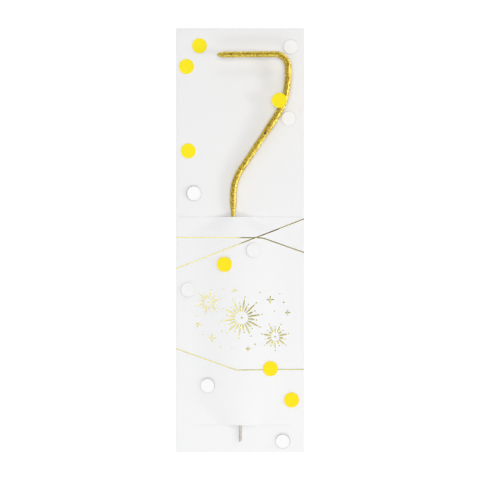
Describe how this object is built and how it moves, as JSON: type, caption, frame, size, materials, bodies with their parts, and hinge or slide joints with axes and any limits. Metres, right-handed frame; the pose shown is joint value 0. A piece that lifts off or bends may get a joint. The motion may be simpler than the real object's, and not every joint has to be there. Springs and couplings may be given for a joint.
{
  "type": "sparkler number candle",
  "caption": "Wire sparkler candle bent to the figure seven, standing in the pocket of a folded white card with gold foil lines and loose paper confetti.",
  "frame": {"origin": "centre of the card's back panel, on its rear face, which is the face that the object lies on", "axes": "+X to the right across the card, +Y up the card towards the figure's top bar, +Z out of the card's front"},
  "size_m": [0.055, 0.1812, 0.0083],
  "materials": {
    "card_board": "matte",
    "dry_glue": "satin",
    "steel_wire": "satin",
    "gold_composition": "satin",
    "gold_foil": "gloss",
    "yellow_paper": "matte",
    "white_paper": "matte"
  },
  "bodies": {
    "card": {"back_panel": "card_board", "pocket_panel": "card_board", "glue_line_left": "dry_glue", "glue_line_right": "dry_glue"},
    "candle": {"core_wire": "steel_wire", "sparkler_coating": "gold_composition"},
    "confetti_yellow_1": {"confetti_yellow_1": "yellow_paper"},
    "confetti_yellow_2": {"confetti_yellow_2": "yellow_paper"},
    "confetti_yellow_3": {"confetti_yellow_3": "yellow_paper"},
    "confetti_yellow_4": {"confetti_yellow_4": "yellow_paper"},
    "confetti_yellow_5": {"confetti_yellow_5": "yellow_paper"},
    "confetti_yellow_6": {"confetti_yellow_6": "yellow_paper"},
    "confetti_yellow_7": {"confetti_yellow_7": "yellow_paper"},
    "confetti_white_1": {"confetti_white_1": "white_paper"},
    "confetti_white_2": {"confetti_white_2": "white_paper"},
    "confetti_white_3": {"confetti_white_3": "white_paper"},
    "confetti_white_4": {"confetti_white_4": "white_paper"},
    "confetti_white_5": {"confetti_white_5": "white_paper"},
    "confetti_white_6": {"confetti_white_6": "white_paper"},
    "confetti_white_7": {"confetti_white_7": "white_paper"}
  },
  "joints": [
    {"name": "candle_pull", "type": "slide", "parent": "card", "child": "candle", "axis": [0, 1, 0], "range_m": [0, 0.097]},
    {"name": "yellow_1_lift", "type": "slide", "parent": "card", "child": "confetti_yellow_1", "axis": [0, 0, 1], "range_m": [0, 0.02]},
    {"name": "yellow_2_lift", "type": "slide", "parent": "card", "child": "confetti_yellow_2", "axis": [0, 0, 1], "range_m": [0, 0.02]},
    {"name": "yellow_3_lift", "type": "slide", "parent": "card", "child": "confetti_yellow_3", "axis": [0, 0, 1], "range_m": [0, 0.02]},
    {"name": "yellow_4_lift", "type": "slide", "parent": "card", "child": "confetti_yellow_4", "axis": [0, 0, 1], "range_m": [0, 0.02]},
    {"name": "yellow_5_lift", "type": "slide", "parent": "card", "child": "confetti_yellow_5", "axis": [0, 0, 1], "range_m": [0, 0.02]},
    {"name": "yellow_6_lift", "type": "slide", "parent": "card", "child": "confetti_yellow_6", "axis": [0, 0, 1], "range_m": [0, 0.02]},
    {"name": "yellow_7_lift", "type": "slide", "parent": "candle", "child": "confetti_yellow_7", "axis": [0, 0, 1], "range_m": [0, 0.02]},
    {"name": "white_1_lift", "type": "slide", "parent": "card", "child": "confetti_white_1", "axis": [0, 0, 1], "range_m": [0, 0.02]},
    {"name": "white_2_lift", "type": "slide", "parent": "card", "child": "confetti_white_2", "axis": [0, 0, 1], "range_m": [0, 0.02]},
    {"name": "white_3_lift", "type": "slide", "parent": "card", "child": "confetti_white_3", "axis": [0, 0, 1], "range_m": [0, 0.02]},
    {"name": "white_4_lift", "type": "slide", "parent": "card", "child": "confetti_white_4", "axis": [0, 0, 1], "range_m": [0, 0.02]},
    {"name": "white_5_lift", "type": "slide", "parent": "card", "child": "confetti_white_5", "axis": [0, 0, 1], "range_m": [0, 0.02]},
    {"name": "white_6_lift", "type": "slide", "parent": "card", "child": "confetti_white_6", "axis": [0, 0, 1], "range_m": [0, 0.02]},
    {"name": "white_7_lift", "type": "slide", "parent": "card", "child": "confetti_white_7", "axis": [0, 0, 1], "range_m": [0, 0.02]}
  ]
}
